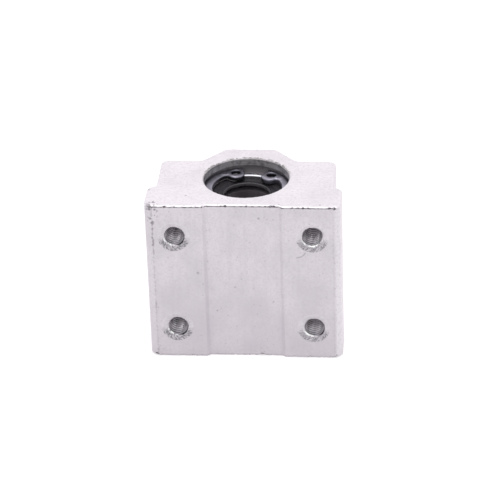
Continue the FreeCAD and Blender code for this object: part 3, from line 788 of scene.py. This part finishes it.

# %% [markdown]
# Where the sawn end meets the bolted face, a bright line on the upper end is a painted highlight,
# and just under it runs a thin dark line. A bevel alone gives neither at this size, so both are
# drawn as ramps of two distances, from the end and from the skin. The nicks are painted darker
# from the mesh's own mark.

# %% Colours of the block: front edge and nicks
EDGE_LINE = 0.22 * MM      # how far under the end the dark line runs
# painted highlight: a bright line along the upper front edge
upper_half = ramp(tree, z, LENGTH / 2, LENGTH / 2 + MM)
painted_edge_highlight = times(tree, ramp(tree, skin_gap, 0.38 * MM, 0.24 * MM),
               ramp(tree, end_gap, 0.14 * MM, 0.07 * MM),
               upper_half, ramp(tree, mottle, 0.30, 0.42, 0.6, 1.0))
metal = mix_colours(tree, painted_edge_highlight, metal, HIGHLIGHT_WHITE)

chips = noise(tree, place, 1700.0, 3.0, 0.7)
from_line = size_of(tree, minus(tree, end_gap, EDGE_LINE))
dark = times(tree, ramp(tree, from_line, 0.17 * MM, 0.07 * MM),
             ramp(tree, skin_gap, 0.26 * MM, 0.14 * MM), ramp(tree, chips, 0.38, 0.62, 0.45, 1.0),
             ramp(tree, z, LENGTH / 2, LENGTH / 2 + MM, 0.4, 1.0))
metal = mix_colours(tree, dark, metal, colour(106, 101, 106))

nick = add(tree, "ShaderNodeAttribute", attribute_name="nick").outputs["Fac"]
nick = times(tree, nick, ramp(tree, end_gap, 0.08 * MM, 0.16 * MM),
             ramp(tree, chips, 0.36, 0.52, 0.4, 1.0))
metal = mix_colours(tree, ramp(tree, nick, 0.35, 0.9, 0.0, 0.95), metal, colour(66, 61, 66))
print("colours: front edge and nicks")

# %% [markdown]
# The block is slid about on its foot, so the rounded foot edges are scuffed, most of all on the
# left, and the upper left corner is knocked. The far half of the bore's rim is ragged. These come
# and go along their edges, so they are broken bands and specks and not plain lines.

# %% Colours of the block: foot edges, corner and rim
FOOT_ROUND = 1.4 * MM      # where the bolted face starts to round off, from the side
foot_line = size_of(tree, minus(tree, size_of(tree, x), HALF_WIDTH - FOOT_ROUND))
foot_gap = plus(tree, foot_line, times(tree, face_gap, 0.5))
seam = use(tree, band, vector=place, distance=foot_gap, width=0.48 * MM, break_scale=1900.0,
           amount=1.0)
seam = times(tree, ramp(tree, seam, 0.3, 0.8), ramp(tree, x, -MM, MM, 0.9, 0.15),
             ramp(tree, clouds, 0.42, 0.58, 0.2, 0.8))
metal = mix_colours(tree, seam, metal, colour(134, 128, 133))

knocks = use(tree, specks, vector=place, per_metre=2100.0, share=0.7, size=0.9)
from_corner = plus(tree, plus(tree, times(tree, end_gap, 0.2), times(tree, face_gap, 0.4)),
                   times(tree, foot_line, 0.9))
knocked = times(tree, ramp(tree, from_corner, 1.7 * MM, 0.4 * MM),
                ramp(tree, z, LENGTH * 0.6, LENGTH * 0.9), ramp(tree, x, MM, -MM), knocks, 0.75)
metal = mix_colours(tree, knocked, metal, colour(108, 103, 108))

rim_gap = minus(tree, from_shaft, BORE + 0.1 * MM)
rim = use(tree, band, vector=place, distance=rim_gap, width=0.6 * MM, break_scale=1500.0, amount=0.8)
far_rim = times(tree, rim, ramp(tree, y, 0.0, 4.0 * MM, 0.1, 1.0),
                ramp(tree, chips, 0.40, 0.60, 0.5, 1.3))
metal = mix_colours(tree, far_rim, metal, colour(118, 116, 112))
print("colours: foot edges, corner and rim")

# %% [markdown]
# A few marks are this block's own: a short curved scratch beside a hole and three small pits.
# Each is a distance on the bolted face, from a circle or from a point, because random wear
# wouldn't put them in their places.

# %% Colours of the block: single marks on the bolted face
SCRATCH_MIDDLE, SCRATCH_RADIUS = (9.26, 21.84), 1.69 * MM
PITS = ((-8.0, 16.9, 0.35), (-7.2, 14.7, 0.16), (2.8, 27.5, 0.3))   # x, z and size in mm


def from_point(mark_x, mark_z):
    """Distance on the bolted face from a point given in mm."""
    flat = add(tree, "ShaderNodeCombineXYZ", {"X": x, "Z": z}).outputs[0]
    return add(tree, "ShaderNodeVectorMath", {0: flat, 1: (mark_x * MM, 0.0, mark_z * MM)},
               operation="DISTANCE").outputs["Value"]


off_arc = size_of(tree, minus(tree, from_point(*SCRATCH_MIDDLE), SCRATCH_RADIUS))
marked = times(tree, ramp(tree, off_arc, 0.15 * MM, 0.05 * MM), ramp(tree, x, 9.0 * MM, 9.4 * MM),
               ramp(tree, z, 21.4 * MM, 21.0 * MM))
for mark_x, mark_z, size in PITS:
    spot = ramp(tree, from_point(mark_x, mark_z), size * MM, 0.3 * size * MM)
    marked = math_node(tree, "MAXIMUM", spot, marked)
metal = mix_colours(tree, times(tree, marked, on_face, 0.45), metal, colour(118, 113, 118))
print("colours: single marks")

# %% [markdown]
# Inside a thread the roots are painted dark, as the oil of the tap and as painted shade, and the
# crests lighter. Deep in the hole the colour is painted lighter and near its mouth darker, as
# painted light and shade. The countersink's cutter chattered: short strokes that point at the
# axis, light and dark by turns. On the low side they are a painted reflection, a faint painted
# sheen lies over the whole countersink, and a painted glint breaks along its inner edge on the low
# side. Their noise reads the angle and the distance within the hole instead of the plain place,
# and that is what turns patches into strokes.

# %% Colours of the block: screw holes
TURNS_SCALE, OUT_SCALE, DRIFT, LEFT_RIGHT = 8.0, 1300.0, 2600.0, 3.0
# painted shade in the thread roots, with the tap's oil; painted light deep in the hole and painted
# shade near its mouth
crest = ramp(tree, from_hole, CREST + 0.22 * MM, CREST + 0.06 * MM)
deep = ramp(tree, face_gap, 0.4 * MM, 3.4 * MM)
root = mix_colours(tree, deep, colour(34, 31, 37), colour(140, 135, 146))
ridge = mix_colours(tree, deep, colour(152, 147, 156), colour(255, 250, 255))
metal = mix_colours(tree, in_hole, metal, mix_colours(tree, crest, root, ridge))

ray = add(tree, "ShaderNodeCombineXYZ", {
    "X": plus(tree, times(tree, hole_angle, TURNS_SCALE), times(tree, from_hole, DRIFT)),
    "Y": times(tree, from_hole, OUT_SCALE),
    "Z": times(tree, math_node(tree, "SIGN", x), LEFT_RIGHT)})
strokes = noise(tree, ray.outputs[0], 2.2, 4.0, 0.6)
# painted reflection: light and dark strokes on the low side of each countersink
low_side = ramp(tree, up, 0.0, -1.3 * MM)
# painted sheen: faint lighter strokes over the whole countersink
sheen = times(tree, in_sink, ramp(tree, strokes, 0.40, 0.62, 0.05, 0.45))
metal = mix_colours(tree, sheen, metal, colour(228, 223, 229))
sink_share = ramp(tree, strokes, 0.40, 0.60)
sink_reflection = mix_colours(tree, sink_share, colour(112, 109, 115), colour(196, 191, 198))
metal = mix_colours(tree, times(tree, in_sink, low_side, 0.9), metal, sink_reflection)

# painted glint: broken white arcs at the inner edge of the countersink, on the low side
lip_gap = size_of(tree, minus(tree, from_hole, CREST + 0.14 * MM))
glint = times(tree, ramp(tree, lip_gap, 0.22 * MM, 0.08 * MM), ramp(tree, mottle, 0.42, 0.52),
              low_side, in_sink)
metal = mix_colours(tree, glint, metal, WHITE)
print("colours: screw holes")

# %% [markdown]
# The bore is turned, so its lines run round it, close together. Coolant has dried on it in
# stains and in streaks along the axis. The ring grooves are cut with a narrow tool and are painted
# darker, as painted shade.

# %% Colours of the block: the bore
turning = use(tree, lines, vector=place, density=(260.0, 260.0, 5200.0), detail=3.0)
stains = noise(tree, place, 700.0, 3.0, 0.65)
streaks = use(tree, lines, vector=place, density=(560.0, 560.0, 90.0), detail=2.0)
turned_share = ramp(tree, turning, 0.35, 0.7)
wall = mix_colours(tree, turned_share, colour(205, 202, 205), colour(176, 172, 176))
wall = mix_colours(tree, ramp(tree, stains, 0.50, 0.66, 0.0, 0.6), wall, colour(112, 108, 112))
wall = mix_colours(tree, ramp(tree, streaks, 0.56, 0.74, 0.0, 0.6), wall, colour(78, 75, 78))
# painted shade: the ring grooves darker than the wall
groove_shade = ramp(tree, from_shaft, BORE + 0.05 * MM, BORE + 0.15 * MM)
wall = mix_colours(tree, groove_shade, wall, colour(150, 146, 150))
metal = mix_colours(tree, in_bore, metal, wall)
print("colours: bore")

# %% [markdown]
# Cut walls are smoother and more mirror-like than the blasted skin, so roughness falls and
# metallic rises inside the bore and the threads. The bump follows the same grain, die lines and
# grit as the colours, so that light and colour agree.

# %% Gloss and relief of the block
GRAIN_DEPTH = 0.02 * MM
smooth_zone = math_node(tree, "MAXIMUM", in_bore, in_hole)
rough = times(tree, plus(tree, 0.48, times(tree, die, 0.12)),
              ramp(tree, smooth_zone, 0.0, 1.0, 1.0, 0.62))
tree.links.new(ramp(tree, smooth_zone, 0.0, 1.0, 0.5, 0.6), shader.inputs["Metallic"])
grain = times(tree, noise(tree, place, 4000.0, 2.0), 0.6)
height = minus(tree, plus(tree, grain, die), times(tree, grit, 0.8))
height = times(tree, height, ramp(tree, smooth_zone, 0.0, 1.0, 1.0, 0.0))
height = plus(tree, height, times(tree, strokes, in_sink, 2.0))
feed(tree, shader, metal, rough, height, GRAIN_DEPTH)
paint(aluminium, block)

# %% [markdown]
# ### Spring steel of the retaining rings
#
# The rings are punched from spring steel and left with a dull oiled skin. Punching rolls their
# edges over, and those rolled edges catch the light as a thin bright outline. The model's rings
# have sharp ones. New meshes could be built, but a Bevel modifier does it on the model's own,
# once a Weld has joined its loose triangles. Deep in its groove a ring gets little light, so its
# outer rim, its side walls, its far left side and its lugs are painted dark, as painted shade. On
# the left a painted highlight runs along its lower inner edge.

# %% Finish: spring steel
ROLLED_EDGE, EDGE_FROM = 0.09 * MM, 50
ring_steel, tree, shader, place = new_finish("ring_steel", 0.85, 0.38)
x, y, z = add(tree, "ShaderNodeSeparateXYZ", {"Vector": place}).outputs
clouds = noise(tree, place, 500.0, 4.0)
scuffs = use(tree, lines, vector=place, density=(900.0, 2600.0, 900.0), detail=2.0)
cloud_share = ramp(tree, clouds, 0.35, 0.7)
steel = mix_colours(tree, cloud_share, colour(172, 169, 182), colour(144, 141, 154))
steel = mix_colours(tree, ramp(tree, scuffs, 0.55, 0.8, 0.0, 0.5), steel, colour(206, 203, 214))

# painted shade deep in the groove: outer rim, far left side, lugs and side walls painted dark
outer_rim_shade = ramp(tree, off_axis(tree, x, y), BORE - 0.32 * MM, BORE - 0.08 * MM, 0.0, 0.8)
steel = mix_colours(tree, outer_rim_shade, steel, colour(52, 50, 58))
far_left_shade = ramp(tree, minus(tree, y, times(tree, x, 0.4)), 3.0 * MM, 5.6 * MM, 0.0, 0.4)
lug_shade = math_node(tree, "MAXIMUM", far_left_shade, ramp(tree, y, 4.2 * MM, 5.2 * MM, 0.0, 0.7))
steel = mix_colours(tree, lug_shade, steel, colour(78, 76, 84))
side_wall_shade = times(tree, ramp(tree, minus(tree, ring_high[2], z), 0.14 * MM, 0.26 * MM),
                  ramp(tree, y, 2.6 * MM, 4.0 * MM, 0.0, 0.85))
steel = mix_colours(tree, side_wall_shade, steel, colour(36, 34, 38))
# painted highlight: a thin bright line on the ring's lower inner edge, on the left
glint = times(tree, ramp(tree, minus(tree, z, ring_low[2]), 0.30 * MM, 0.20 * MM),
              ramp(tree, x, -1.8 * MM, -3.0 * MM), ramp(tree, y, 1.2 * MM, 2.6 * MM))
steel = mix_colours(tree, glint, steel, HIGHLIGHT_WHITE)
feed(tree, shader, steel, ramp(tree, clouds, 0.3, 0.7, 0.32, 0.46), scuffs, 0.008 * MM)

rings = [nodes[f"{end}_retaining_ring"] for end in ("upper", "lower")]
paint(ring_steel, *rings)
for ring in rings:
    ring.modifiers.new("weld", "WELD").merge_threshold = SAME
    rolled = ring.modifiers.new("rolled_edge", "BEVEL")
    rolled.width, rolled.segments, rolled.limit_method = ROLLED_EDGE, 2, "ANGLE"
    rolled.angle_limit = math.radians(EDGE_FROM)
    ring.modifiers.new("even_shade", "WEIGHTED_NORMAL")

# %% [markdown]
# ### Rubber of the seals
#
# A seal is black rubber with a fine grain and some dust. Its lip is painted pale, as a painted
# highlight along its edge and as wear where the shaft rubs it. The lip could be a material of its
# own, but then it would end in a hard line, so the pale part is a ramp of the distance from the
# shaft's axis.

# %% Finish: black rubber
LIP = mounts["shaft_bore"]["dims"]["r_mm"] * MM
rubber, tree, shader, place = new_finish("seal_rubber", 0.0, 0.45, 0.25)
x, y = add(tree, "ShaderNodeSeparateXYZ", {"Vector": place}).outputs[:2]
skin_grain = noise(tree, place, 2600.0, 3.0)
dust = use(tree, specks, vector=place, per_metre=1800.0, share=0.2, size=0.3)
grain_share = ramp(tree, skin_grain, 0.35, 0.7)
black = mix_colours(tree, grain_share, colour(36, 34, 38), colour(50, 47, 52))
# painted highlight and wear: a pale ring along the seal's lip
lip_highlight_and_wear = times(tree, ramp(tree, off_axis(tree, x, y), LIP + 0.15 * MM, LIP + 0.07 * MM),
                 ramp(tree, skin_grain, 0.3, 0.5, 0.5, 1.0))
black = mix_colours(tree, lip_highlight_and_wear, black, colour(86, 84, 88))
black = mix_colours(tree, times(tree, dust, 0.4), black, colour(110, 106, 108))
feed(tree, shader, black, ramp(tree, skin_grain, 0.3, 0.7, 0.36, 0.52), skin_grain, 0.01 * MM)
paint(rubber, nodes["upper_seal"], nodes["lower_seal"])

# %% [markdown]
# ### Steel and resin inside
#
# The sleeve is hardened and ground round, the cage is a dark moulded resin with faint flow marks,
# the side rings are drawn wire, and the balls are polished and filmed with oil. In each of them
# one pattern rules the colour, the gloss and the bump alike, so one helper makes all four.

# %% Finishes: sleeve, cage, side rings and balls
def patterned(finish, pattern, light, dark, gloss, depth, pieces):
    """Colour from light to dark, roughness from low to high and a bump, all from one pattern."""
    material, tree, shader, place = finish
    value = pattern(tree, place)
    base = mix_colours(tree, ramp(tree, value, 0.35, 0.7), colour(*light), colour(*dark))
    feed(tree, shader, base, ramp(tree, value, 0.3, 0.7, *gloss), value, depth)
    paint(material, *pieces)


def line_pattern(density, detail):
    """A pattern of tool lines, for patterned()."""
    return lambda tree, place: use(tree, lines, vector=place, density=density, detail=detail)


patterned(new_finish("bearing_steel", 1.0, 0.22), line_pattern((120.0, 120.0, 5200.0), 3.0),
          (190, 189, 194), (160, 159, 165), (0.18, 0.30), 0.004 * MM, [nodes["bearing_sleeve"]])
patterned(new_finish("cage_resin", 0.0, 0.5, 0.4), line_pattern((700.0, 700.0, 180.0), 3.0),
          (92, 86, 92), (108, 102, 108), (0.42, 0.56), 0.012 * MM, [nodes["ball_cage"]])
patterned(new_finish("wire_steel", 1.0, 0.3), line_pattern((400.0, 400.0, 6000.0), 2.0),
          (196, 196, 200), (158, 157, 163), (0.24, 0.36), 0.005 * MM,
          [nodes["upper_side_ring"], nodes["lower_side_ring"]])
patterned(new_finish("ball_steel", 1.0, 0.08), lambda tree, place: noise(tree, place, 900.0, 3.0),
          (214, 214, 218), (192, 191, 197), (0.05, 0.14), 0.001 * MM,
          [nodes[name] for name in nodes if "_balls_" in name])

# %% [markdown]
# ## Floor and light
#
# The block stands on a pale floor that runs on to where it can't be told from the background. A
# curved backdrop would do that too, but a wide floor shows no bend. The floor keeps the block's
# shadow. It shows from above only, so that the lower end can be looked at through it.

# %% Floor
HALF, DROP = 4.0, -0.02 * MM
FLOOR_GREY, FLOOR_GLOW = 0.88, 0.28


def seen_by(tree, *kinds):
    """A mask that is 1 for rays of the named kinds, and 0 for the light that falls on things."""
    rays = add(tree, "ShaderNodeLightPath").outputs
    mask = rays[f"Is {kinds[0]} Ray"]
    for kind in kinds[1:]:
        mask = math_node(tree, "MAXIMUM", mask, rays[f"Is {kind} Ray"])
    return mask


floor_mesh = bpy.data.meshes.new("floor")
floor_corners = [(side * HALF, end * HALF, DROP) for side, end in ((-1, -1), (1, -1), (1, 1), (-1, 1))]
floor_mesh.from_pydata(floor_corners, [], [(0, 1, 2, 3)])
floor = bpy.data.objects.new("floor", floor_mesh)
bpy.context.scene.collection.objects.link(floor)
floor_paint, tree, shader = new_finish("floor_paint", 0.0, 0.9, 0.0)[:3]
shader.inputs["Base Color"].default_value = (FLOOR_GREY, FLOOR_GREY, FLOOR_GREY, 1.0)
shader.inputs["Emission Color"].default_value = WHITE
glow = times(tree, seen_by(tree, "Camera", "Glossy"), FLOOR_GLOW)
tree.links.new(glow, shader.inputs["Emission Strength"])
see_through = add(tree, "ShaderNodeMixShader", {
    0: add(tree, "ShaderNodeNewGeometry").outputs["Backfacing"], 1: shader.outputs[0],
    2: add(tree, "ShaderNodeBsdfTransparent").outputs[0]})
tree.links.new(see_through.outputs[0], tree.nodes["Material Output"].inputs["Surface"])
paint(floor_paint, floor)

# %% [markdown]
# One wide lamp above gives the bright end face and a soft shadow, and a second one fills the
# front. Small lamps would throw hard shadows, which a white table under a tent of cloth doesn't
# have. The world is white for the camera and for reflections, and dimmer as a light.

# %% World and lamps
WORLD_LIGHT = 0.8
world = bpy.data.worlds.new("studio")
bpy.context.scene.world = world
world.use_nodes = True
tree = world.node_tree
sky = tree.nodes["Background"]
seen = seen_by(tree, "Camera", "Glossy", "Transmission")
sky.inputs["Color"].default_value = WHITE
tree.links.new(ramp(tree, seen, 0.0, 1.0, WORLD_LIGHT, 1.0), sky.inputs["Strength"])


def soft_lamp(name, place, aim, size, power):
    """A square lamp at a place, turned so that it faces the aim."""
    data = bpy.data.lights.new(name, "AREA")
    data.size = size
    data.energy = power
    lamp = bpy.data.objects.new(name, data)
    bpy.context.scene.collection.objects.link(lamp)
    back = np.array(place, dtype=float) - np.array(aim, dtype=float)
    back /= np.linalg.norm(back)
    side = np.cross([0.0, 1.0, 0.0], back)
    side /= np.linalg.norm(side)
    matrix = np.eye(4)
    matrix[:3, :4] = np.column_stack([side, np.cross(back, side), back, place])
    lamp.matrix_world = Matrix(matrix.tolist())
    print("lamp:", name, f"{size:.2f} m wide, {power:.2f} W")


target = (0.0, 0.0, LENGTH / 2)
soft_lamp("key", (-0.04, -0.06, 0.60), target, size=0.50, power=1.42)
soft_lamp("fill", (-0.25, -0.70, 0.45), target, size=0.35, power=0.36)
